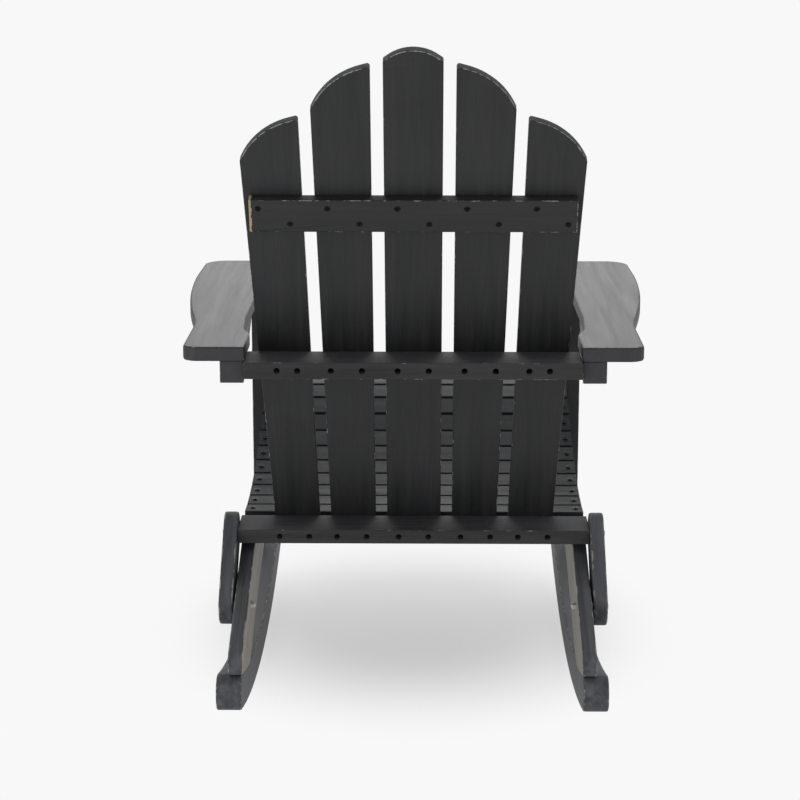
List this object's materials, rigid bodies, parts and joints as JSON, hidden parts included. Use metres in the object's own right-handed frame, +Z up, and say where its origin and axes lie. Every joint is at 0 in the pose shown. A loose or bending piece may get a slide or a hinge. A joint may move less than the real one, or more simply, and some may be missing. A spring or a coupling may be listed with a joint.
{
  "type": "rocking adirondack chair",
  "caption": "Low outdoor rocking chair with a fan of back slats, wide flat arms, a curved slatted seat and two curved runners.",
  "frame": {"origin": "on the floor, midway between the foremost and the rearmost point and midway between the arms", "axes": "+Z up, the front of the chair faces -Y, +X towards the sitter's left hand"},
  "size_m": [0.731, 0.91, 0.9818],
  "materials": {
    "dark_wood": "satin",
    "bolt_metal": "satin"
  },
  "bodies": {
    "root": {"back_slat_left_inner": "dark_wood", "back_slat_left_outer": "dark_wood", "back_slat_middle": "dark_wood", "back_slat_right_inner": "dark_wood", "back_slat_right_outer": "dark_wood", "front_apron": "dark_wood", "left_arm": "dark_wood", "left_arm_rail": "dark_wood", "left_front_leg": "dark_wood", "left_rear_brace": "dark_wood", "left_runner": "dark_wood", "left_seat_stringer": "dark_wood", "leg_bolts": "bolt_metal", "lower_crossbar": "dark_wood", "middle_crossbar": "dark_wood", "right_arm": "dark_wood", "right_arm_rail": "dark_wood", "right_front_leg": "dark_wood", "right_rear_brace": "dark_wood", "right_runner": "dark_wood", "right_seat_stringer": "dark_wood", "seat_slat_01": "dark_wood", "seat_slat_02": "dark_wood", "seat_slat_03": "dark_wood", "seat_slat_04": "dark_wood", "seat_slat_05": "dark_wood", "seat_slat_06": "dark_wood", "seat_slat_07": "dark_wood", "seat_slat_08": "dark_wood", "seat_slat_09": "dark_wood", "seat_slat_10": "dark_wood", "seat_slat_11": "dark_wood", "seat_slat_12": "dark_wood", "tail_bolts": "bolt_metal", "upper_back_rail": "dark_wood"}
  },
  "joints": []
}
